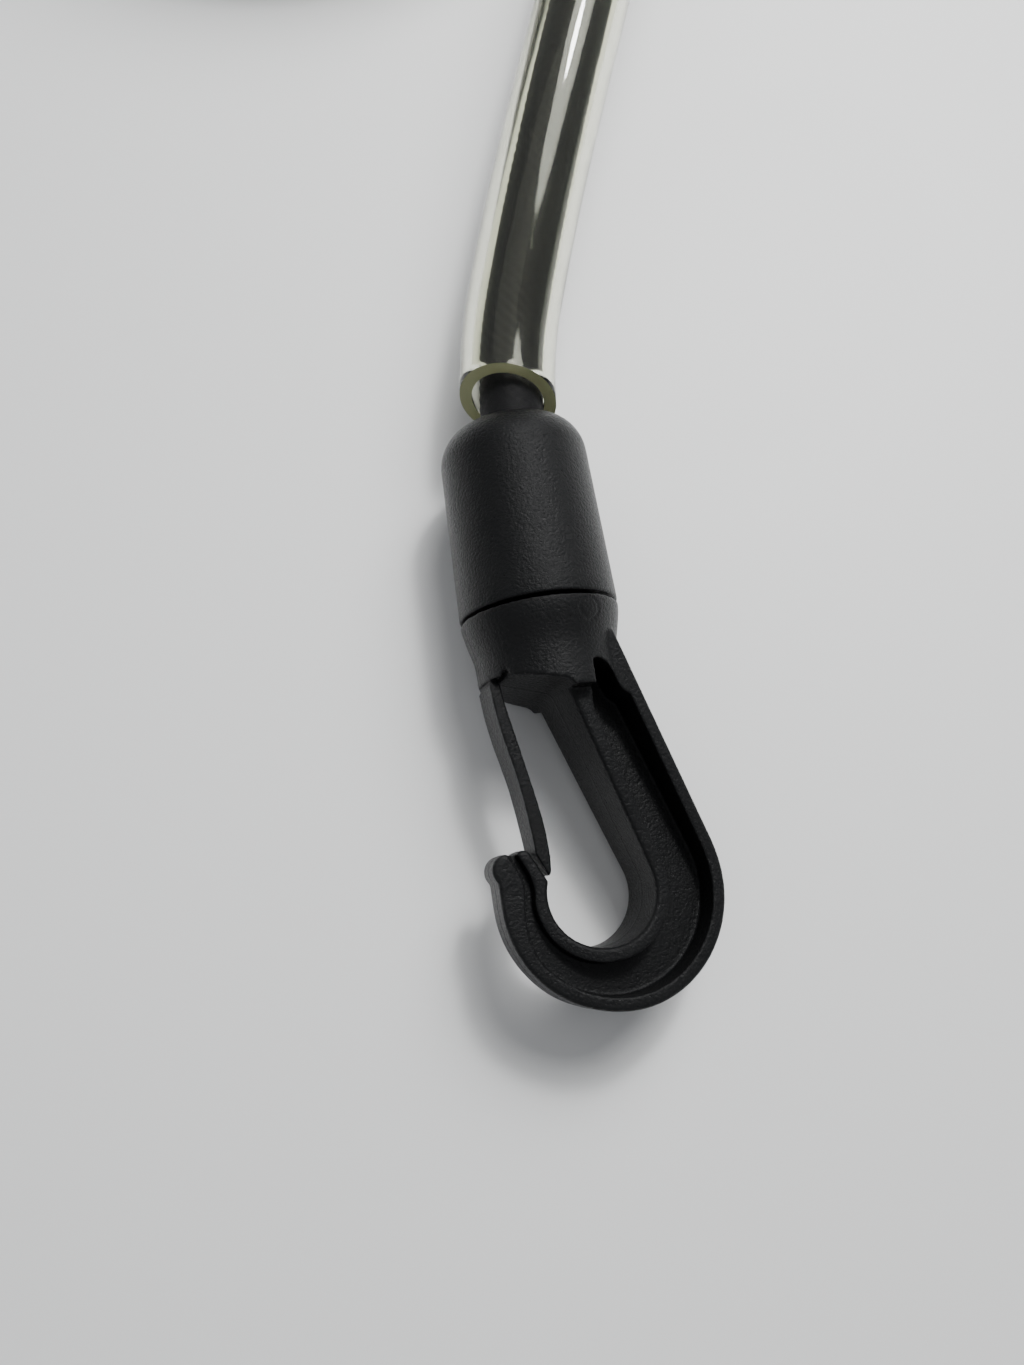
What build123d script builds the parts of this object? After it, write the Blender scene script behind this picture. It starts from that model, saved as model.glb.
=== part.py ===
"""Elastic leash: a snap hook with a spring gate on each end of a bungee cord in a clear tube."""

import os
from math import cos, pi, radians, sin, tan

from build123d import *

os.makedirs("parts", exist_ok=True)

# ---------------------------------------------------------------- driving dimensions (mm)
# The hook is drawn flat about its seam with the cap: "down" is the distance from the seam
# towards the bend of the hook, "side" is the distance from the axis towards its back.
seam_radius = 9.5
seam_gap = 0.5
waist_radius = 8.6
waist_down = 4.6
collar_end_radius = 8.35
collar_down = 11.7

cap_length = 24.0
cap_shoulder_radius = 9.0
cap_round = 4.7

seat_down, seat_side, seat_radius = 33.0, 0.95, 6.0
bend_down, bend_side, bend_radius = 33.15, 2.5, 12.8
back_angle = 18.2
throat_angle = 17.5
rib_width = 1.55
web_half = 1.15
neck_top, bend_half, nose_half = 6.64, 4.55, 2.3
rim_round = 0.4

ceiling_left = (8.0, -6.4)
rib_side = 2.75
collar_step = 10.35

hinge_down, hinge_side = 8.67, -7.45
gate_root_radius = 0.62
gate_half_root, gate_half_tip = 2.75, 2.25

spigot_radius, spigot_bore, spigot_length = 6.9, 5.3, 8.0
bead_height, bead_down = 0.45, 6.2
finger_slot = 1.4

cord_radius, core_radius = 4.0, 3.1
cord_hole_radius = 4.2
sleeve_radius, sleeve_bore = 6.0, 4.5
ring_wire_radius, ring_up = 0.9, 13.5

coil_radius, coil_straight = 52.0, 37.0


def at(down, side):
    """A point of the flat hook drawing."""
    return (side, -down)


def on_line(angle, down0, side0, radius, down):
    """How far to the side a line is that touches a circle and leans by angle."""
    touch_down = down0 - radius * sin(radians(angle))
    touch_side = side0 + radius * cos(radians(angle))
    return touch_side + (down - touch_down) * tan(radians(angle))


def touch(angle, down0, side0, radius):
    """Where that line touches its circle."""
    return at(down0 - radius * sin(radians(angle)), side0 + radius * cos(radians(angle)))


# ---------------------------------------------------------------- flat outlines of the hook
leg_side = bend_side - bend_radius
seat_foot = at(31.0, -4.707)
nose_tip = at(27.6, -6.3)
nose_notch = at(27.75, -7.93)

with BuildSketch() as outer_plan:
    with BuildLine():
        back_top = at(4.0, on_line(back_angle, bend_down, bend_side, bend_radius, 4.0))
        back_foot = touch(back_angle, bend_down, bend_side, bend_radius)
        Polyline(at(24.0, 0.0), at(12.0, -2.0), at(4.0, -2.0), back_top, back_foot)
        ThreePointArc(back_foot, at(bend_down + bend_radius, bend_side), at(bend_down, leg_side))
        Line(at(bend_down, leg_side), at(30.35, leg_side))
        ThreePointArc(at(30.35, leg_side), at(27.9, -10.3), nose_notch)
        ThreePointArc(nose_notch, at(27.2, -7.1), nose_tip)
        Line(nose_tip, at(24.0, 0.0))
    make_face()

throat_foot = touch(throat_angle, seat_down, seat_side, seat_radius)
corner_down = 9.72
throat_corner = at(corner_down, on_line(throat_angle, seat_down, seat_side, seat_radius, corner_down))
ceiling_slope = (corner_down - ceiling_left[0]) / (throat_corner[0] - ceiling_left[1])

with BuildSketch() as opening_plan:
    with BuildLine() as opening_line:
        Polyline(
            throat_foot,
            throat_corner,
            at(*ceiling_left),
            at(7.2, -6.5),
            at(7.2, -6.85),
            at(7.9, -7.0),
            at(7.9, -12.0),
            at(24.0, -12.0),
            at(26.6, -6.6),
            nose_tip,
            seat_foot,
        )
        ThreePointArc(seat_foot, at(seat_down + seat_radius, seat_side), throat_foot)
    make_face()
    fillet(opening_plan.vertices().sort_by_distance((*throat_corner, 0))[0], radius=1.6)

inner_radius = seat_radius + rib_width
outer_radius = bend_radius - rib_width
channel_top = 7.55

with BuildSketch() as channel_plan:
    with BuildLine():
        inner_foot = touch(throat_angle, seat_down, seat_side, inner_radius)
        elbow = at(13.0, on_line(throat_angle, seat_down, seat_side, inner_radius, 13.0) + 0.15)
        Polyline(at(channel_top, rib_side), at(11.5, rib_side), elbow, inner_foot)
        channel_turn = at(seat_down, seat_side - inner_radius)
        ThreePointArc(inner_foot, at(seat_down + inner_radius, seat_side), channel_turn)
        Spline(channel_turn, at(30.9, -6.5), at(29.4, -6.95), at(26.8, -8.1))
        Line(at(26.8, -8.1), at(26.6, -9.1))
        nose_rib = [(26.6, -9.1), (29.2, -8.05), (30.9, -7.55), (33.5, -7.75), (36.6, -7.75), (39.5, -6.8)]
        Spline(*[at(*spot) for spot in nose_rib])
        outer_foot = touch(back_angle, bend_down, bend_side, outer_radius)
        ThreePointArc(at(39.5, -6.8), at(bend_down + outer_radius, bend_side), outer_foot)
        pocket_foot = at(11.7, on_line(back_angle, bend_down, bend_side, outer_radius, 11.7))
        Line(outer_foot, pocket_foot)
        Spline(pocket_foot, at(10.6, 6.15), at(8.6, 5.3), at(channel_top, 3.9), at(channel_top, rib_side))
    make_face()
for plan_name, plan in (("outer", outer_plan), ("opening", opening_plan), ("channel", channel_plan)):
    print(plan_name, "area", round(plan.sketch.area, 2))

# ---------------------------------------------------------------- hook body
with BuildPart() as blade:
    extrude(outer_plan.sketch, amount=seam_radius, both=True)
    with BuildSketch(Plane.YZ) as side_view:
        with BuildLine():
            Polyline(
                (-4, 0), (-4, neck_top), (throat_foot[1], bend_half), (-48, bend_half), (-48, 0)
            )
            mirror(about=Plane.XZ)
        make_face()
    extrude(amount=20, both=True, mode=Mode.INTERSECT)
    for face_side in (1, -1):
        with BuildSketch(Plane.XZ.offset(27)) as nose_view:
            with BuildLine():
                Spline(
                    (5, face_side * bend_half),
                    (-8.5, face_side * nose_half),
                    tangents=((-1, 0), (-1, 0)),
                )
                Polyline(
                    (-8.5, face_side * nose_half),
                    (-12, face_side * nose_half),
                    (-12, face_side * 9),
                    (5, face_side * 9),
                    (5, face_side * bend_half),
                )
            make_face()
        extrude(amount=20, mode=Mode.SUBTRACT)
    extrude(opening_plan.sketch, amount=10, both=True, mode=Mode.SUBTRACT)
    side_walls = blade.faces().filter_by(lambda face: abs(face.normal_at(face.center()).Z) < 0.01)
    rims = side_walls.edges().filter_by(lambda edge: abs((edge @ 0.5).Z) > nose_half / 2)
    fillet(rims, radius=rim_round)
print("blade", blade.part.volume, len(blade.part.solids()), blade.part.is_valid)

with BuildPart() as hook:
    with BuildSketch():
        with BuildLine():
            Spline(
                at(seam_gap / 2, seam_radius),
                at(2.6, 9.1),
                at(waist_down, waist_radius),
                at(8.0, 8.42),
                at(collar_down, collar_end_radius),
            )
            Polyline(
                at(collar_down, collar_end_radius),
                at(collar_down, 0),
                at(seam_gap / 2, 0),
                at(seam_gap / 2, seam_radius),
            )
        make_face()
    revolve(axis=Axis.Y)
    with BuildSketch(Plane.XZ.offset(collar_step)):
        with Locations((rib_side - 10, 0)):
            Rectangle(20, 20)
    extrude(amount=10, mode=Mode.SUBTRACT)
    extrude(opening_plan.sketch, amount=10, both=True, mode=Mode.SUBTRACT)
    add(blade.part)
    for face_side in (1, -1):
        with BuildSketch(Plane.XY.offset(face_side * web_half)):
            add(channel_plan.sketch)
        extrude(amount=face_side * 10, mode=Mode.SUBTRACT)
    with BuildSketch(Plane.XZ.offset(seam_gap / 2)):
        Circle(spigot_radius)
    extrude(amount=-spigot_length - seam_gap / 2)
    with BuildSketch():
        with Locations((spigot_radius, bead_down)):
            Circle(bead_height)
    revolve(axis=Axis.Y)
    with BuildSketch(Plane.XZ.offset(-spigot_length)):
        Circle(spigot_bore)
    extrude(amount=spigot_length + 2.0, mode=Mode.SUBTRACT)
    with BuildSketch(Plane.XZ.offset(-spigot_length)):
        Rectangle(20, finger_slot)
        Rectangle(finger_slot, 20)
    extrude(amount=spigot_length - 2.0, mode=Mode.SUBTRACT)
print("hook", hook.part.volume, len(hook.part.solids()), hook.part.is_valid)

# ---------------------------------------------------------------- gate
with BuildPart() as gate:
    with BuildSketch():
        with BuildLine():
            root_out = at(hinge_down, hinge_side - gate_root_radius)
            root_in = at(hinge_down, hinge_side + gate_root_radius)
            ThreePointArc(root_out, at(hinge_down - gate_root_radius, hinge_side), root_in)
            Spline(root_in, at(10.5, -6.65), at(14.7, -5.9), at(19.6, -5.0), at(24.5, -4.2), at(29.0, -4.05))
            Polyline(at(29.0, -4.05), at(29.95, -4.15), at(30.45, -4.435), at(27.85, -5.6))
            gate_back = [(27.85, -5.6), (23.2, -5.95), (19.0, -6.5), (14.8, -7.35), (11.0, -7.9)]
            Spline(*[at(*spot) for spot in gate_back], root_out)
        make_face()
    extrude(amount=gate_half_root, both=True)
    with BuildSketch(Plane.YZ.offset(-12)):
        with BuildLine():
            Polyline(
                (0, 0), (-8, 0), (-8, gate_half_root), (-12, gate_half_root),
                (-31, gate_half_tip), (-31, 0), (0, 0),
            )
        make_face()
        mirror(about=Plane.XZ)
    extrude(amount=24, mode=Mode.INTERSECT)
print("gate", gate.part.volume, len(gate.part.solids()), gate.part.is_valid)

# ---------------------------------------------------------------- cap
cavity_radius = spigot_radius + bead_height + 0.1
cavity_top = ring_up + ring_wire_radius + 0.1
with BuildPart() as cap:
    with BuildSketch():
        with BuildLine():
            Polyline(
                (cavity_radius, seam_gap / 2),
                (seam_radius, seam_gap / 2),
                (cap_shoulder_radius, cap_length - cap_round),
            )
            Spline(
                (cap_shoulder_radius, cap_length - cap_round),
                (cap_shoulder_radius - cap_round * 0.25, cap_length - cap_round * 0.32),
                (cap_shoulder_radius - cap_round * 0.9, cap_length),
                tangents=((-0.03, 1), (-1, 0.05)),
            )
            Polyline(
                (cap_shoulder_radius - cap_round * 0.9, cap_length),
                (cord_hole_radius, cap_length),
                (cord_hole_radius, cavity_top),
                (cavity_radius - 1.2, cavity_top),
                (cavity_radius, cavity_top - 1.2),
                (cavity_radius, seam_gap / 2),
            )
        make_face()
    revolve(axis=Axis.Y)
print("cap", cap.part.volume, len(cap.part.solids()), cap.part.is_valid)

# ---------------------------------------------------------------- crimp ring
with BuildPart() as ring:
    with BuildSketch():
        with Locations((cord_radius + ring_wire_radius, ring_up)):
            Circle(ring_wire_radius)
    revolve(axis=Axis.Y)

# ---------------------------------------------------------------- where the two ends lie
near_heading, far_heading = 8.75, 180.0
hook_pitch, hook_roll = 1.15, 15.0
seam_height = 9.503
near_seam = Vector(-0.906, -93.213, seam_height)
far_seam = Vector(-4.106, 92.457, seam_height)


def resting(seam, heading):
    """The place of a hook that lies on its side, with its cap towards the heading."""
    turned = [
        direction.rotate(Axis.Y, hook_roll).rotate(Axis.X, hook_pitch).rotate(Axis.Z, heading)
        for direction in (Vector(1, 0, 0), Vector(0, 0, 1))
    ]
    return Plane(origin=seam, x_dir=turned[0], z_dir=turned[1])


def keep(shape, name):
    shape.label = name
    export_step(shape, f"parts/{name}.step")
    print(name, round(shape.volume / 1000, 3), "cm3", len(shape.solids()), shape.is_valid)


places = {"near": resting(near_seam, near_heading), "far": resting(far_seam, far_heading)}
pieces = {"hook_body": hook, "gate": gate, "cap": cap, "crimp_ring": ring}
for end, place in places.items():
    for piece_name, piece in pieces.items():
        keep(piece.part.moved(place.location), f"{end}_{piece_name}")

# ---------------------------------------------------------------- free cord
coil_centre = (-32.106, 90.957)
lead_points = [
    (-2.427, -83.331, 9.704),
    (-5.316, -64.556, 10.085),
    (-1.906, -43.543, 13.6),
    (3.894, -16.543, 17.0),
    (11.794, 17.457, 18.8),
    (17.3, 41.0, 18.4),
    (19.3, 64.0, 18.2),
]
tail_points = [
    (-4.106, 82.459, 9.704),
    (-4.106, 53.8, 10.279),
    (-16.64, 34.14, 8.0),
    (-37.77, 24.28, 6.3),
    (-60.5, 27.2, 6.05),
]
mouth_lean = 20.0
mouth_gap = 3.3


def corner_radii(points):
    """Arcs as large as the runs on both sides of each point allow."""
    spots = [Vector(*point) for point in points]
    radii = []
    for before, here, after in zip(spots, spots[1:], spots[2:]):
        first_run, second_run = here - before, after - here
        half_turn = radians(first_run.get_angle(second_run)) / 2
        radii.append(0.45 * min(first_run.length, second_run.length) / tan(half_turn))
    return radii


def tube(points, outer, inner):
    """A round tube, or a full round cord when inner is 0, along a route."""
    with BuildPart() as made:
        with BuildLine():
            route = FilletPolyline(*points, radius=corner_radii(points))
        with BuildSketch(Plane(origin=route @ 0, z_dir=route % 0)):
            Circle(outer)
            if inner:
                Circle(inner, mode=Mode.SUBTRACT)
        sweep(path=route)
    section = pi * (outer**2 - inner**2)
    print("length", route.length, "volume / (section x length)", made.part.volume / section / route.length)
    return made


with BuildPart() as coil:
    with BuildSketch():
        with Locations(coil_centre):
            outer_width, inner_width = 2 * (coil_radius + sleeve_radius), 2 * (coil_radius - sleeve_radius)
            SlotCenterToCenter(coil_straight, outer_width, rotation=90)
            SlotCenterToCenter(coil_straight, inner_width, rotation=90, mode=Mode.SUBTRACT)
    extrude(amount=4 * sleeve_radius)
    level_edges = coil.edges().filter_by(Axis.Z, reverse=True).filter_by(lambda edge: edge.length > 1)
    fillet(level_edges, radius=sleeve_radius - 0.1)
keep(coil.part, "coil")

for end, points in (("lead", lead_points), ("tail", tail_points)):
    print(end, "corner radii", [round(radius, 1) for radius in corner_radii(points)])
    place = places["near" if end == "lead" else "far"]
    mouth = Plane(place.origin + place.y_dir * (cap_length + mouth_gap), z_dir=place.y_dir)
    for skin, outer, inner in (
        ("jacket", cord_radius, core_radius),
        ("core", core_radius, 0),
        ("sleeve", sleeve_radius, sleeve_bore),
    ):
        with BuildPart() as run:
            add(tube(points, outer, inner).part)
            add(coil.part, mode=Mode.SUBTRACT)
            if skin == "sleeve":
                split(bisect_by=mouth.rotated((-mouth_lean, 0, 0)), keep=Keep.TOP)
        keep(run.solids().sort_by(SortBy.VOLUME)[-1], f"{end}_{skin}")
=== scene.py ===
# %% [markdown]
# # An elastic leash with a snap hook on each end
# The object is a bungee cord in a clear vinyl tube. Each end of the cord is knotted off inside a
# black nylon cap, and a snap hook with a spring gate is pressed into the cap. This lesson dresses
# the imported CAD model: the cord and its tube first, then the hooks, then the light.

# %% Load the frame
from math import cos, pi, radians, sin

import bmesh
import bpy
import numpy as np
from mathutils import Matrix, Vector


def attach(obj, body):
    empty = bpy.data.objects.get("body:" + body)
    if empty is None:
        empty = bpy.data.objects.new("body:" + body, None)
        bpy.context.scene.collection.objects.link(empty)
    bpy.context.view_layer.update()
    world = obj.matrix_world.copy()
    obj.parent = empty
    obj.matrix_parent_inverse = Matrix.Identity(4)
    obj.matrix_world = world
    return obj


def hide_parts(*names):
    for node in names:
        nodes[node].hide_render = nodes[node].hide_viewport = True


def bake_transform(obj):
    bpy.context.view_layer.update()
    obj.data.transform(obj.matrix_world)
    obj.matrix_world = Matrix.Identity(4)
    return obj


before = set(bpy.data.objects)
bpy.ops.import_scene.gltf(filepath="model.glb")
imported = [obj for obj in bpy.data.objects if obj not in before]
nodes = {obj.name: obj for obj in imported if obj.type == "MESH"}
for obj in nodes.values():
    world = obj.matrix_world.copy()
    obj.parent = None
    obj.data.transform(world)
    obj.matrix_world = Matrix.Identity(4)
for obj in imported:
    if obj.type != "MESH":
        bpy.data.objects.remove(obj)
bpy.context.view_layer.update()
print("nodes:", sorted(nodes))

# %% [markdown]
# The CAD model is drawn in millimetres and Blender works in metres, so every length below is
# written in millimetres and multiplied by `MM` once, where it becomes geometry.

# %% Units and the two ends
MM = 0.001

# Where each hook meets its cap, and which way its cap points, in degrees from +Y.
SEAM = {"near": (-0.906, -93.213, 9.503), "far": (-4.106, 92.457, 9.503)}
HEADING = {"near": 8.75, "far": 180.0}
PITCH, ROLL = 1.15, 15.0
CAP_LENGTH = 24.0


def hook_matrix(end):
    """Places a piece drawn in the hook's own millimetres: x to its back, y to the cap, z up."""
    turn = (
        Matrix.Rotation(radians(HEADING[end]), 4, "Z")
        @ Matrix.Rotation(radians(PITCH), 4, "X")
        @ Matrix.Rotation(radians(ROLL), 4, "Y")
    )
    return Matrix.Translation(Vector(SEAM[end]) * MM) @ turn @ Matrix.Scale(MM, 4)


for end in SEAM:
    top = hook_matrix(end) @ Vector((0, CAP_LENGTH, 0))
    print(end, "cap ends at", [round(1000 * c, 2) for c in top])

# %% [markdown]
# A small object looks natural from a low, close viewpoint. The camera hangs above the near hook
# and leans a little towards the coil, with a normal lens for a hand-held close-up.

# %% Camera
CAMERA_FOOT = (-4.106, -127.543)
CAMERA_HEIGHT = 127.35
CAMERA_LEAN = 12.5
LENS, SENSOR = 27.033, 36.0

camera_data = bpy.data.cameras.new("camera")
camera_data.lens = LENS
camera_data.sensor_width = SENSOR
camera_data.clip_start = 0.005
camera = bpy.data.objects.new("camera", camera_data)
camera.location = Vector((*CAMERA_FOOT, CAMERA_HEIGHT)) * MM
camera.rotation_euler = (radians(CAMERA_LEAN), 0, 0)
bpy.context.scene.collection.objects.link(camera)
bpy.context.scene.camera = camera
print("camera at", [round(c, 4) for c in camera.location])

# %% [markdown]
# The cord is one smooth line from cap to cap. Its ends are listed points, and the stored
# length between them lies in flat oval turns that a loop works out. A NURBS line of order 3 passes
# close to its points without kinks, as a stiff, springy cord does. The points of a round end lie
# a little outside it, because the line runs inside its points.

# %% The cord's route
LEAD_POINTS = [
    (-2.427, -83.331, 9.704),
    (-5.316, -64.556, 10.085),
    (-1.906, -43.543, 13.6),
    (3.894, -16.543, 17.0),
    (11.794, 17.457, 18.8),
    (17.3, 41.0, 18.4),
    (19.3, 64.0, 18.2),
]
TAIL_POINTS = [
    (-4.106, 82.459, 9.704),
    (-4.106, 66.0, 10.034),
    (-4.106, 53.8, 10.279),
    (-16.64, 34.14, 8.0),
    (-37.77, 24.28, 6.3),
    (-60.5, 27.2, 6.05),
    (-78.75, 42.31, 6.03),
    (-84.106, 59.3, 6.0),
]
COIL_CENTRE = (-32.106, 90.957)
COIL_RADIUS, COIL_STRAIGHT = 52.0, 37.0
LAYER_HEIGHTS = (18.0, 6.0)
DROP_START, DROP_END = 272.0, 330.0
END_POINTS, RUN_POINTS = 10, 2


def coil_height(angle):
    """The upper turn sinks to the lower one between two angles."""
    upper, lower = LAYER_HEIGHTS
    share = min(max((angle - DROP_START) / (DROP_END - DROP_START), 0), 1)
    return upper + (lower - upper) * share * share * (3 - 2 * share)


def coil_points():
    """Straight runs and round ends in turn, one and a half times around the oval."""
    step = 180 / END_POINTS
    reach = COIL_RADIUS / cos(radians(step / 2))
    made = []
    for half_turn in range(3):
        side = 1 if half_turn % 2 == 0 else -1
        for number in range(RUN_POINTS):
            along = COIL_STRAIGHT * ((number + 0.5) / RUN_POINTS - 0.5)
            x, y = COIL_CENTRE[0] + side * COIL_RADIUS, COIL_CENTRE[1] + side * along
            made.append((x, y, coil_height(180 * half_turn)))
        for number in range(END_POINTS):
            angle = 180 * half_turn + step * (number + 0.5)
            x = COIL_CENTRE[0] + reach * cos(radians(angle))
            y = COIL_CENTRE[1] + side * COIL_STRAIGHT / 2 + reach * sin(radians(angle))
            made.append((x, y, coil_height(angle)))
    made.append((COIL_CENTRE[0] - COIL_RADIUS, COIL_CENTRE[1], LAYER_HEIGHTS[1]))
    return made


route_points = LEAD_POINTS + coil_points() + TAIL_POINTS[::-1]
print("route has", len(route_points), "points")


# %% The smooth line through the route
def smooth_line(points, name, resolution=12):
    """Returns the points of a NURBS line of order 3, in metres."""
    curve = bpy.data.curves.new(name, "CURVE")
    curve.dimensions = "3D"
    spline = curve.splines.new("NURBS")
    spline.points.add(len(points) - 1)
    for spot, point in zip(spline.points, points):
        spot.co = (*(Vector(point) * MM), 1)
    spline.order_u = 3
    spline.use_endpoint_u = True
    spline.resolution_u = resolution
    holder = bpy.data.objects.new(name, curve)
    mesh = bpy.data.meshes.new_from_object(holder)
    line = [v.co.copy() for v in mesh.vertices]
    bpy.data.objects.remove(holder)
    bpy.data.curves.remove(curve)
    bpy.data.meshes.remove(mesh)
    return line


cord_line = smooth_line(route_points, "route")
cord_line_length = sum((b - a).length for a, b in zip(cord_line, cord_line[1:]))
print("cord line", len(cord_line), "points,", round(cord_line_length, 4), "m")


# %% [markdown]
# Patterns along a cord only look right when its rings are evenly spaced. These helpers spread
# points along the smooth line and give each one a side and an over direction, so that a tube can
# be drawn around it ring by ring.

# %% Rings along a line
def even_line(line, step):
    """The same line with its points a fixed step apart."""
    coords = np.array(line)
    distance = np.concatenate([[0], np.cumsum(np.linalg.norm(np.diff(coords, axis=0), axis=1))])
    wanted = np.linspace(0, distance[-1], max(2, round(distance[-1] / step)) + 1)
    return np.stack([np.interp(wanted, distance, coords[:, k]) for k in range(3)], axis=1)


def line_frames(points):
    """The side, over and along directions at each point."""
    along = np.gradient(points, axis=0)
    along /= np.linalg.norm(along, axis=1)[:, None]
    side = np.cross(along, [0.0, 0.0, 1.0])
    side /= np.linalg.norm(side, axis=1)[:, None]
    return side, np.cross(side, along), along


def distances(points):
    """How far along the line each point lies."""
    return np.concatenate([[0], np.cumsum(np.linalg.norm(np.diff(points, axis=0), axis=1))])


def rings_around(points, radii, around, slide=None):
    """Rings of points around the line; slide moves each point along the line."""
    side, over, along = line_frames(points)
    angles = np.arange(around) * 2 * pi / around
    rings = points[:, None, :] + radii[..., None] * (
        np.cos(angles)[None, :, None] * side[:, None, :]
        + np.sin(angles)[None, :, None] * over[:, None, :]
    )
    if slide is not None:
        rings = rings + slide[..., None] * along[:, None, :]
    return rings


def loft_faces(ring_count, around, first=0, closed=False):
    """Quads between neighbouring rings."""
    faces = []
    last = ring_count if closed else ring_count - 1
    for ring in range(last):
        here, there = first + ring * around, first + (ring + 1) % ring_count * around
        for k in range(around):
            n = (k + 1) % around
            faces.append((here + k, here + n, there + n, there + k))
    return faces


def new_piece(name, coords, faces):
    """A smooth-shaded object whose faces all look outwards, as glass needs."""
    mesh = bpy.data.meshes.new(name)
    mesh.from_pydata([tuple(c) for c in coords], [], faces)
    mesh.validate()
    solid = bmesh.new()
    solid.from_mesh(mesh)
    bmesh.ops.recalc_face_normals(solid, faces=solid.faces)
    solid.to_mesh(mesh)
    solid.free()
    for polygon in mesh.polygons:
        polygon.use_smooth = True
    piece = bpy.data.objects.new(name, mesh)
    bpy.context.scene.collection.objects.link(piece)
    print(name, len(mesh.vertices), "points", len(mesh.polygons), "faces")
    return piece


# %% [markdown]
# The bungee is a bundle of rubber strands in a braided polyester jacket. A braid is two families
# of yarns that wind opposite ways and pass over and under each other. Each family is a set of
# ridges, and the family on top changes from one crossing to the next, so the ridges are lifted
# and lowered in a chequered order.

# %% The braided cord
CORD_RADIUS = 4.0
BRAID_YARNS = 16
BRAID_PITCH = 22.0
BRAID_DEPTH = 0.32
CORD_STEP = 0.45
CORD_AROUND = 64


def braid_height(distance, angles):
    """How high the braid stands at each place, from 0 between the yarns to 1 on top of them."""
    turn = distance[:, None] / (BRAID_PITCH * MM) * 2 * pi
    one = BRAID_YARNS / 2 * (angles[None, :] + turn)
    two = BRAID_YARNS / 2 * (angles[None, :] - turn)
    over_first = 0.5 + 0.5 * np.sin(one) * np.sin(two) / (0.15 + np.abs(np.sin(one) * np.sin(two)))
    ridge_one = np.abs(np.cos(one)) ** 0.7
    ridge_two = np.abs(np.cos(two)) ** 0.7
    return np.clip(over_first * ridge_one + (1 - over_first) * ridge_two, 0, 1)


cord_points = even_line(cord_line, CORD_STEP * MM)
cord_distance = distances(cord_points)
cord_angles = np.arange(CORD_AROUND) * 2 * pi / CORD_AROUND
cord_radii = (CORD_RADIUS - BRAID_DEPTH * (1 - braid_height(cord_distance, cord_angles))) * MM
cord_rings = rings_around(cord_points, cord_radii, CORD_AROUND)
cord_faces = loft_faces(len(cord_points), CORD_AROUND)
last_ring = (len(cord_points) - 1) * CORD_AROUND
cord_faces.append(tuple(range(CORD_AROUND))[::-1])
cord_faces.append(tuple(range(last_ring, last_ring + CORD_AROUND)))
cord = new_piece("bungee_cord", cord_rings.reshape(-1, 3), cord_faces)

# %% [markdown]
# A clear vinyl tube slides over the cord and stops short of each cap. It is cut by hand with
# scissors, so its ends are slanted. The wall must be real, with an outer and an inner surface,
# because the bright bands at its sides are light that the bore's wall turns back. The cord is
# thinner than the bore and doesn't lie quite in its middle, so the tube drifts a little sideways.

# %% The clear tube
SLEEVE_RADIUS, SLEEVE_BORE = 6.0, 4.5
MOUTH_BACK = 17.6
MOUTH_LEAN = 20.0
MOUTH_SIDE_LEAN = 8.0
SHEAR_REACH = 9.0
SLEEVE_STEP = 1.0
SLEEVE_AROUND = 64
SLEEVE_DRIFT, DRIFT_WAVE, DRIFT_END = 0.42, 85.0, 120.0


def sleeve_line():
    """The stretch of the cord's line that the tube covers."""
    points = even_line(cord_line, 0.25 * MM)
    distance = distances(points)
    inside = (distance > MOUTH_BACK * MM) & (distance < distance[-1] - MOUTH_BACK * MM)
    return even_line([Vector(p) for p in points[inside]], SLEEVE_STEP * MM)


sleeve_points = sleeve_line()
sleeve_distance = distances(sleeve_points)
sleeve_side = line_frames(sleeve_points)[0]
drift = SLEEVE_DRIFT * MM * np.sin(sleeve_distance / (DRIFT_WAVE * MM) * pi - pi / 2)
drift *= np.clip(1.6 - sleeve_distance / (DRIFT_END * MM), 0, 1)
sleeve_points = sleeve_points + drift[:, None] * sleeve_side
sleeve_angles = np.arange(SLEEVE_AROUND) * 2 * pi / SLEEVE_AROUND


def mouth_slide(distance, radius):
    """Slants both ends: the top lip stands back and the slant fades out along the tube."""
    near = np.clip(1 - distance / (SHEAR_REACH * MM), 0, 1)
    far = np.clip(1 - (distance[-1] - distance) / (SHEAR_REACH * MM), 0, 1)
    slant = radius * sin(radians(MOUTH_LEAN)) * np.sin(sleeve_angles)
    slant -= radius * sin(radians(MOUTH_SIDE_LEAN)) * np.cos(sleeve_angles)
    return (near - far)[:, None] * slant[None, :]


wall = []
for radius in (SLEEVE_RADIUS, SLEEVE_BORE):
    radii = np.full((len(sleeve_points), SLEEVE_AROUND), radius * MM)
    slide = mouth_slide(sleeve_distance, radius * MM)
    wall.append(rings_around(sleeve_points, radii, SLEEVE_AROUND, slide))
sleeve_rings = np.concatenate([wall[0], wall[1][::-1]])
sleeve_faces = loft_faces(len(sleeve_rings), SLEEVE_AROUND, closed=True)
sleeve = new_piece("clear_tube", sleeve_rings.reshape(-1, 3), sleeve_faces)

# %% [markdown]
# Declaring them next to their geometry keeps the two in step.

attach(cord, "leash")
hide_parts("lead_jacket", "lead_core", "tail_jacket", "tail_core")
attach(sleeve, "leash")
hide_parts("lead_sleeve", "tail_sleeve", "coil")

# %% [markdown]
# The hook is one nylon moulding. The CAD body has its exact shape but sharp creases, where a real
# moulding has small radii everywhere. Remeshing the body into small cells and relaxing them rounds
# each crease by about the same amount, as a mould does.

# %% The moulded hook body
HOOK_CELL = 0.17
HOOK_RELAX = 7


def copy_of(node, name):
    """A loose copy of a CAD node's mesh, without its material."""
    piece = nodes[node].copy()
    piece.data = nodes[node].data.copy()
    piece.name = piece.data.name = name
    piece.data.materials.clear()
    bpy.context.scene.collection.objects.link(piece)
    return piece


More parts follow.
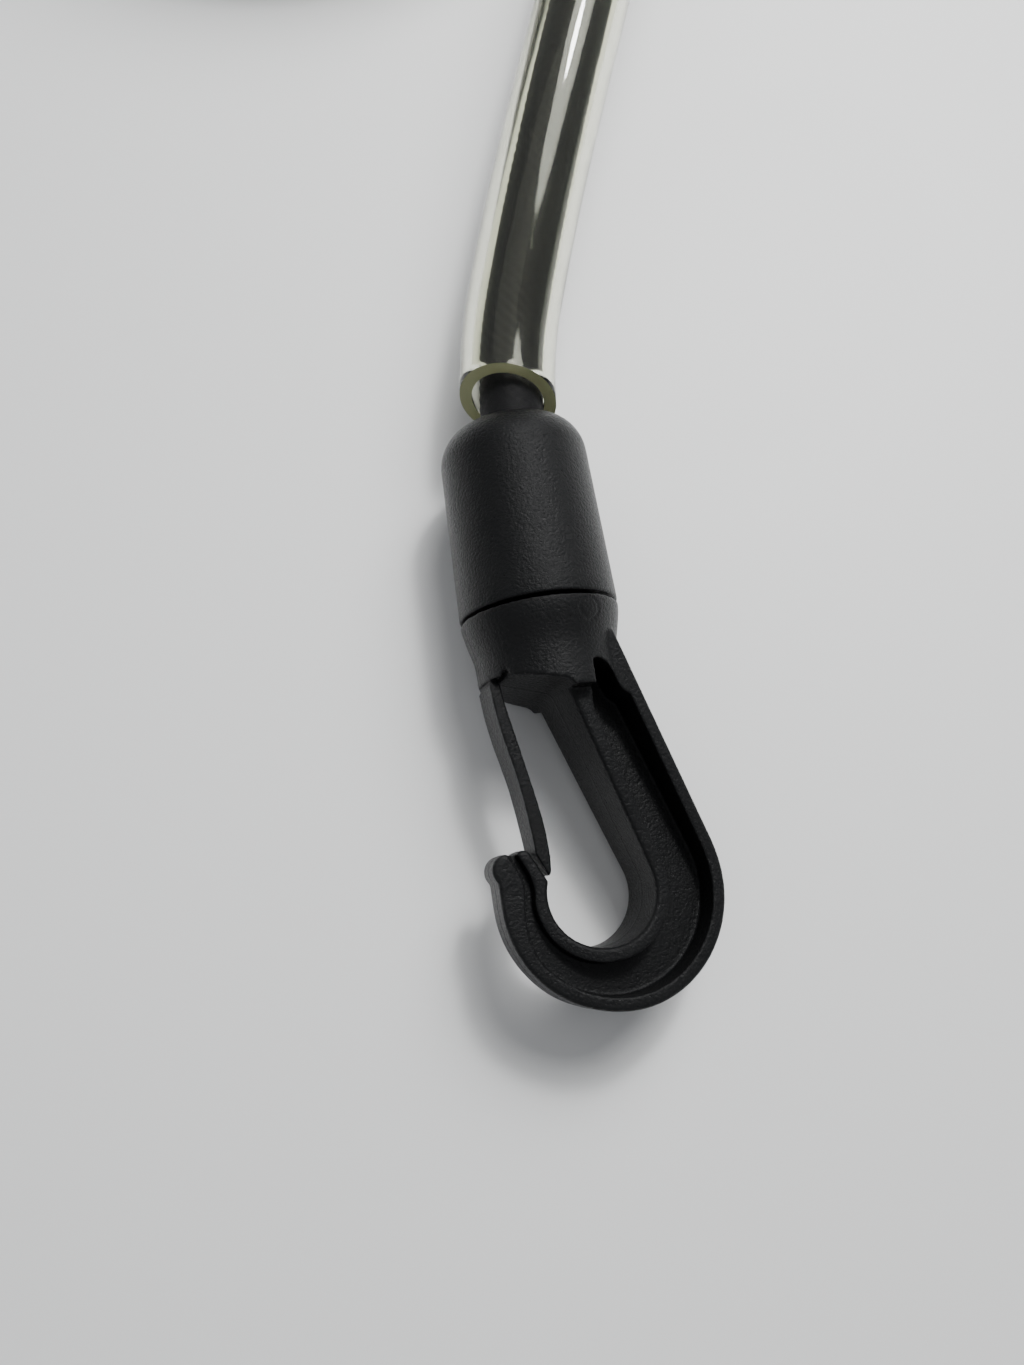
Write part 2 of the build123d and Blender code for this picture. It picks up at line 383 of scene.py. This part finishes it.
def apply_all(piece):
    """Replaces a piece's mesh with what its modifiers make of it."""
    graph = bpy.context.evaluated_depsgraph_get()
    made = bpy.data.meshes.new_from_object(piece.evaluated_get(graph))
    piece.modifiers.clear()
    old = piece.data
    piece.data = made
    bpy.data.meshes.remove(old)
    piece.data.name = piece.name
    for polygon in piece.data.polygons:
        polygon.use_smooth = True
    print(piece.name, len(piece.data.vertices), "points")
    return piece


def moulded(node, name, cell, relax):
    """A copy of a CAD node with its creases rounded, as a plastic moulding has them."""
    piece = copy_of(node, name)
    remesh = piece.modifiers.new("cells", "REMESH")
    remesh.mode = "VOXEL"
    remesh.voxel_size = cell * MM
    relaxed = piece.modifiers.new("relax", "SMOOTH")
    relaxed.factor = 0.5
    relaxed.iterations = relax
    return apply_all(piece)


def local_points(piece, end):
    """The piece's points in the hook's own millimetres: side, towards the cap, up."""
    coords = np.empty(len(piece.data.vertices) * 3)
    piece.data.vertices.foreach_get("co", coords)
    back = np.array(hook_matrix(end).inverted())
    return coords.reshape(-1, 3) @ back[:3, :3].T + back[:3, 3]


def set_local_points(piece, end, coords):
    out = np.array(hook_matrix(end))
    moved = coords @ out[:3, :3].T + out[:3, 3]
    piece.data.vertices.foreach_set("co", moved.ravel())
    piece.data.update()


hook = moulded("near_hook_body", "near_hook", HOOK_CELL, HOOK_RELAX)

# %% [markdown]
# A moulding keeps small traces of its mould: round marks where pins pushed it out, and a fine
# line where the two halves met. They are a few hundredths of a millimetre high, and they are made
# by moving the points of the mesh.

# %% Mould marks
# Each pin mark: its centre (side, towards the cap), its radius and its depth.
PIN_MARKS = (
    ((3.1, -1.9), 1.25, 0.05),
    ((8.0, -20.5), 1.0, 0.03),
    ((-8.8, -31.5), 0.65, 0.04),
    ((9.0, -36.5), 1.0, 0.02),
)
PIN_RIM_WIDTH = 0.17
PART_LINE_HEIGHT, PART_LINE_WIDTH = 0.045, 0.16


def add_mould_marks(piece, end):
    """Presses the pin marks into the flat faces and raises the part line on the walls."""
    coords = local_points(piece, end)
    normals = np.empty(len(coords) * 3)
    piece.data.vertices.foreach_get("normal", normals)
    turn = np.array(hook_matrix(end).to_3x3().normalized())
    normals = normals.reshape(-1, 3) @ turn
    lift = np.zeros(len(coords))
    for centre, radius, depth in PIN_MARKS:
        away = np.hypot(coords[:, 0] - centre[0], coords[:, 1] - centre[1])
        facing = np.abs(normals[:, 2]) > 0.6
        lift -= facing * depth * np.exp(-(((away - radius) / PIN_RIM_WIDTH) ** 2))
        lift -= facing * 0.4 * depth * (away < radius)
    wall_like = np.abs(normals[:, 2]) < 0.5
    outside = coords[:, 1] < -0.3
    ridge = PART_LINE_HEIGHT * np.exp(-((coords[:, 2] / PART_LINE_WIDTH) ** 2))
    lift += wall_like * outside * ridge
    set_local_points(piece, end, coords + lift[:, None] * normals)


add_mould_marks(hook, "near")


def far_copy(piece, name):
    """The same moulding on the other end of the cord."""
    twin = piece.copy()
    twin.data = piece.data.copy()
    twin.name = twin.data.name = name
    twin.data.transform(hook_matrix("far") @ hook_matrix("near").inverted())
    bpy.context.scene.collection.objects.link(twin)
    return twin


hooks = {"near": hook, "far": far_copy(hook, "far_hook")}
print("far hook stands at", [round(1000 * c, 2) for c in hook_matrix("far").translation])
for end, piece in hooks.items():
    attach(piece, "leash")
    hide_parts(f"{end}_hook_body")

# %% [markdown]
# The gate is a thin springy arm. On the real hook it grows out of the collar through a thin
# waist that bends like a hinge, so a short web joins the two here.

# %% The gate and its living hinge
GATE_CELL = 0.14
GATE_RELAX = 4
WEB_HALF_HEIGHT, WEB_BEVEL = 2.6, 0.2
WEB_ROWS, WEB_TOP, WEB_LENGTH = 13, 7.2, 2.9
WEB_END_THICK, WEB_WAIST_THICK = 0.62, 0.42

gate = moulded("near_gate", "near_gate_moulding", GATE_CELL, GATE_RELAX)
gates = {"near": gate, "far": far_copy(gate, "far_gate_moulding")}


def hinge_web(end):
    """A short strip from inside the collar to the root of the gate, with a thin waist."""
    coords = []
    for row in range(WEB_ROWS):
        share = row / (WEB_ROWS - 1)
        down = WEB_TOP + WEB_LENGTH * share
        middle = -7.5 + 0.14 * share
        half = WEB_WAIST_THICK + (WEB_END_THICK - WEB_WAIST_THICK) * abs(2 * share - 1) ** 1.5
        flat, tall = half - WEB_BEVEL, WEB_HALF_HEIGHT - WEB_BEVEL
        corners = (
            (-half, -tall), (-flat, -WEB_HALF_HEIGHT), (flat, -WEB_HALF_HEIGHT), (half, -tall),
            (half, tall), (flat, WEB_HALF_HEIGHT), (-flat, WEB_HALF_HEIGHT), (-half, tall),
        )
        coords += [hook_matrix(end) @ Vector((middle + x, -down, z)) for x, z in corners]
    faces = loft_faces(WEB_ROWS, 8)
    faces += [tuple(range(8))[::-1], tuple(range(8 * WEB_ROWS - 8, 8 * WEB_ROWS))]
    return new_piece(f"{end}_hinge_web", coords, faces)


webs = {}
for end, piece in gates.items():
    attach(piece, f"{end}_gate_arm")
    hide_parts(f"{end}_gate")
    web = hinge_web(end)
    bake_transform(web)
    webs[end] = web

# %% [markdown]
# The cap is a turned shape: straight sides that draw in a little, a round shoulder and a hole for
# the cord. A lathe is the natural way to make it, so its profile is spun around the axis. The
# profile is closed, with the inner bore too, because the cap is hollow.

# %% The caps
CAP_SEGMENTS = 160
SEAM_GAP = 0.32
SEAM_RADIUS, SHOULDER_RADIUS = 9.5, 9.0
CAP_ROUND = 4.7
HOLE_RADIUS, CAVITY_RADIUS, CAVITY_TOP = 4.2, 7.45, 14.5
CAP_EDGE, HOLE_EDGE, CAVITY_BEVEL = 0.3, 0.35, 1.2
SIDE_STEPS = 12


def arc(centre, radii, start, stop, count):
    """Points on a quarter of an ellipse, in the profile's plane."""
    made = []
    for k in range(count + 1):
        angle = radians(start + (stop - start) * k / count)
        made.append((centre[0] + radii[0] * cos(angle), centre[1] + radii[1] * sin(angle)))
    return made


def cap_profile():
    """Radius and height around the cap's wall: side, shoulder, hole, cavity and lower edge."""
    low = SEAM_GAP / 2
    foot, side_top = low + CAP_EDGE, CAP_LENGTH - CAP_ROUND
    side = [
        (
            SEAM_RADIUS + (SHOULDER_RADIUS - SEAM_RADIUS) * k / SIDE_STEPS,
            foot + (side_top - foot) * k / SIDE_STEPS,
        )
        for k in range(SIDE_STEPS + 1)
    ]
    round_width = CAP_ROUND * 0.9
    shoulder = arc((SHOULDER_RADIUS - round_width, side_top), (round_width, CAP_ROUND), 0, 90, 14)
    rim_centre = (HOLE_RADIUS + HOLE_EDGE, CAP_LENGTH - HOLE_EDGE)
    rim = arc(rim_centre, (HOLE_EDGE, HOLE_EDGE), 90, 180, 5)
    inside = [
        (HOLE_RADIUS, CAP_LENGTH - 4),
        (HOLE_RADIUS, CAVITY_TOP),
        (CAVITY_RADIUS - CAVITY_BEVEL, CAVITY_TOP),
        (CAVITY_RADIUS, CAVITY_TOP - CAVITY_BEVEL),
        (CAVITY_RADIUS, 6),
        (CAVITY_RADIUS, low + 0.2),
        (CAVITY_RADIUS + 0.2, low),
    ]
    edge = arc((SEAM_RADIUS - CAP_EDGE, foot), (CAP_EDGE, CAP_EDGE), -90, -12, 4)
    return side + shoulder[1:] + rim + inside + edge


def turned_cap(end):
    """Spins the profile around the cap's axis."""
    profile = cap_profile()
    place = hook_matrix(end)
    coords = []
    for radius, height in profile:
        for k in range(CAP_SEGMENTS):
            angle = 2 * pi * k / CAP_SEGMENTS
            coords.append(place @ Vector((radius * sin(angle), height, radius * cos(angle))))
    faces = loft_faces(len(profile), CAP_SEGMENTS, closed=True)
    return new_piece(f"{end}_turned_cap", coords, faces)


caps = {end: turned_cap(end) for end in SEAM}
for end, piece in caps.items():
    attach(piece, "leash")
    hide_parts(f"{end}_cap")

# %% [markdown]
# ## Finishes
# Every finish is a node material on the Principled shader. The numbers that are the same all over
# sit on the shader's own sockets, and only what varies over a surface comes from textures.

# %% Material helpers
def new_material(name, **settings):
    """A Principled material; each setting is one of the shader's own sockets."""
    material = bpy.data.materials.new(name)
    material.use_nodes = True
    shader = material.node_tree.nodes["Principled BSDF"]
    for socket, value in settings.items():
        shader.inputs[socket.replace("_", " ")].default_value = value
    return material, material.node_tree, shader


def add_node(tree, kind, inputs=(), **settings):
    """A node whose inputs are set to numbers or linked to sockets."""
    node = tree.nodes.new(kind)
    for key, value in settings.items():
        setattr(node, key, value)
    for socket, value in dict(inputs).items():
        if isinstance(value, bpy.types.NodeSocket):
            tree.links.new(value, node.inputs[socket])
        else:
            node.inputs[socket].default_value = value
    return node


def noise(tree, place, scale, detail=2.0, roughness=0.5):
    """Cloudy noise; the scale is in waves per metre."""
    inputs = {"Vector": place, "Scale": scale, "Detail": detail, "Roughness": roughness}
    return add_node(tree, "ShaderNodeTexNoise", inputs).outputs["Fac"]


def spread(tree, value, low, high, to_low, to_high):
    """Maps one range of a value onto another."""
    inputs = {"Value": value, 1: low, 2: high, 3: to_low, 4: to_high}
    return add_node(tree, "ShaderNodeMapRange", inputs).outputs["Result"]


def bump(tree, shader, height, strength, distance, under=None):
    """Tilts the shading by a height, on top of an earlier bump when one is given."""
    inputs = {"Height": height, "Strength": strength, "Distance": distance}
    if under is not None:
        inputs["Normal"] = under
    made = add_node(tree, "ShaderNodeBump", inputs).outputs["Normal"]
    tree.links.new(made, shader.inputs["Normal"])
    return made


# %% [markdown]
# Black nylon comes out of a spark-eroded mould with a fine grain. The grain breaks the highlight
# into specks, and handling polishes some places more than others.

# %% Black nylon
def black_nylon():
    material, tree, shader = new_material("black_nylon", Specular_IOR_Level=0.24)
    place = add_node(tree, "ShaderNodeTexCoord").outputs["Object"]
    grain = noise(tree, place, 3200.0, 3.0, 0.65)
    cells = add_node(tree, "ShaderNodeTexVoronoi", {"Vector": place, "Scale": 2300.0})
    patches = noise(tree, place, 160.0, 4.0, 0.6)
    tint = add_node(tree, "ShaderNodeValToRGB", {"Fac": patches})
    tint.color_ramp.elements[0].color = (0.0035, 0.0037, 0.004, 1)
    tint.color_ramp.elements[1].color = (0.0065, 0.0067, 0.0068, 1)
    tree.links.new(tint.outputs["Color"], shader.inputs["Base Color"])
    tree.links.new(spread(tree, grain, 0.3, 0.7, 0.26, 0.46), shader.inputs["Roughness"])
    first = bump(tree, shader, grain, 1.0, 0.00012)
    bump(tree, shader, cells.outputs["Distance"], 0.35, 0.00005, under=first)
    return material


nylon = black_nylon()
for piece in [*hooks.values(), *webs.values(), *gates.values(), *caps.values()]:
    piece.data.materials.clear()
    piece.data.materials.append(nylon)
print(nylon.name, "has", len(nylon.node_tree.nodes), "nodes")

# %% [markdown]
# The braid's yarns are spun from fine black polyester filaments. The yarns are already in the
# mesh, so the material only adds the filaments: a fine bump, a matt surface and hardly any sheen.

# %% Black braid
def black_braid():
    material, tree, shader = new_material("black_braid", Specular_IOR_Level=0.15, Roughness=0.6)
    shader.inputs["Sheen Weight"].default_value = 0.03
    place = add_node(tree, "ShaderNodeTexCoord").outputs["Object"]
    fibres = noise(tree, place, 5200.0, 2.0, 0.6)
    tint = add_node(tree, "ShaderNodeValToRGB", {"Fac": fibres})
    tint.color_ramp.elements[0].color = (0.003, 0.003, 0.0034, 1)
    tint.color_ramp.elements[1].color = (0.012, 0.012, 0.0125, 1)
    tree.links.new(tint.outputs["Color"], shader.inputs["Base Color"])
    bump(tree, shader, fibres, 0.5, 0.00005)
    return material


cord.data.materials.append(black_braid())
print("cord wears", cord.data.materials[0].name)

# %% [markdown]
# Soft vinyl is clear but not colourless: plasticiser yellows it, which shows where light travels
# along the wall. A little roughness stands for its slightly hazy skin. Scissors leave the cut
# face dull, and it gathers the yellow of the whole wall, so it has its own olive material.

# %% Clear vinyl
CUT_SIDES = (len(sleeve_points) - 1, 2 * len(sleeve_points) - 1)


def clear_vinyl():
    """The tube's clear wall."""
    material, tree, shader = new_material("clear_vinyl", IOR=1.5, Roughness=0.06)
    shader.inputs["Base Color"].default_value = (0.93, 0.94, 0.80, 1)
    shader.inputs["Transmission Weight"].default_value = 1.0
    place = add_node(tree, "ShaderNodeTexCoord").outputs["Object"]
    waves = noise(tree, place, 90.0, 2.0, 0.5)
    bump(tree, shader, waves, 0.12, 0.0006)
    return material


def cut_vinyl():
    """The dull face that scissors leave."""
    material, tree, shader = new_material("cut_vinyl", IOR=1.5, Roughness=0.45)
    shader.inputs["Base Color"].default_value = (0.52, 0.54, 0.27, 1)
    shader.inputs["Transmission Weight"].default_value = 0.35
    return material


sleeve.data.materials.append(clear_vinyl())
sleeve.data.materials.append(cut_vinyl())
for ring in CUT_SIDES:
    for k in range(SLEEVE_AROUND):
        cut = sleeve.data.polygons[ring * SLEEVE_AROUND + k]
        cut.material_index = 1
        cut.use_smooth = False
print("cut faces", sum(polygon.material_index for polygon in sleeve.data.polygons))

# %% [markdown]
# A ring of steel wire is squeezed around each end of the cord inside its cap. It is hardly ever
# seen, so the CAD ring is used as it is, with a scratched metal finish.

# %% Steel wire of the crimp rings
def steel_wire():
    material, tree, shader = new_material("steel_wire", Metallic=1.0, Roughness=0.3)
    place = add_node(tree, "ShaderNodeTexCoord").outputs["Object"]
    scratches = noise(tree, place, 1500.0, 4.0, 0.7)
    tint = add_node(tree, "ShaderNodeValToRGB", {"Fac": scratches})
    tint.color_ramp.elements[0].color = (0.42, 0.42, 0.43, 1)
    tint.color_ramp.elements[1].color = (0.62, 0.62, 0.63, 1)
    tree.links.new(tint.outputs["Color"], shader.inputs["Base Color"])
    return material


wire = steel_wire()
for end in SEAM:
    crimp_ring = nodes[f"{end}_crimp_ring"]
    crimp_ring.data.materials.clear()
    crimp_ring.data.materials.append(wire)
    print(crimp_ring.name, "wears", wire.name)

# %% [markdown]
# ## Floor and light
# The leash lies on a plain pale surface. The floor is one large matt square, much larger than the
# leash, so that its edge stays out of a close view.

# %% Floor
FLOOR_HALF = 1.6
floor_corners = [
    (x * FLOOR_HALF, y * FLOOR_HALF, 0) for x, y in ((-1, -1), (1, -1), (1, 1), (-1, 1))
]
floor = new_piece("floor", floor_corners, [(0, 1, 2, 3)])
floor_material, floor_tree, floor_shader = new_material("pale_board", Roughness=0.5)
floor_shader.inputs["Base Color"].default_value = (0.72, 0.725, 0.72, 1)
floor.data.materials.append(floor_material)

# %% [markdown]
# A broad soft light stands up and to the right, so the shadows fall softly down and to the left,
# and a ceiling light and the room's own light fill them. Mirrored in the tube, broad lights would
# make wide white streaks, so they are hidden from reflections and a small bulb near the first
# gives the narrow highlight that plastic has in a room with one bright lamp.

# %% Light
def area_light(name, place, aim, size, power):
    """A round lamp that looks at a point."""
    data = bpy.data.lights.new(name, "AREA")
    data.shape = "DISK"
    data.size = size
    data.energy = power
    lamp = bpy.data.objects.new(name, data)
    lamp.location = place
    lamp.rotation_euler = (Vector(aim) - Vector(place)).to_track_quat("-Z", "Y").to_euler()
    bpy.context.scene.collection.objects.link(lamp)
    print(name, "gives", power, "W")
    return lamp


AIM = (-0.005, -0.095, 0.0)
window = area_light("window", (0.20, 0.28, 0.42), (0.035, -0.03, 0.0), 0.40, 0.85)
window.data.spread = radians(60)
ceiling = area_light("ceiling", (-0.2, 0.1, 0.9), AIM, 1.0, 1.2)
for soft_lamp in (window, ceiling):
    soft_lamp.visible_glossy = False
area_light("bulb", (0.15, 0.22, 0.43), AIM, 0.07, 1.5)

world = bpy.data.worlds.new("room")
world.use_nodes = True
world.node_tree.nodes["Background"].inputs["Color"].default_value = (0.93, 0.95, 1.0, 1)
world.node_tree.nodes["Background"].inputs["Strength"].default_value = 0.3
bpy.context.scene.world = world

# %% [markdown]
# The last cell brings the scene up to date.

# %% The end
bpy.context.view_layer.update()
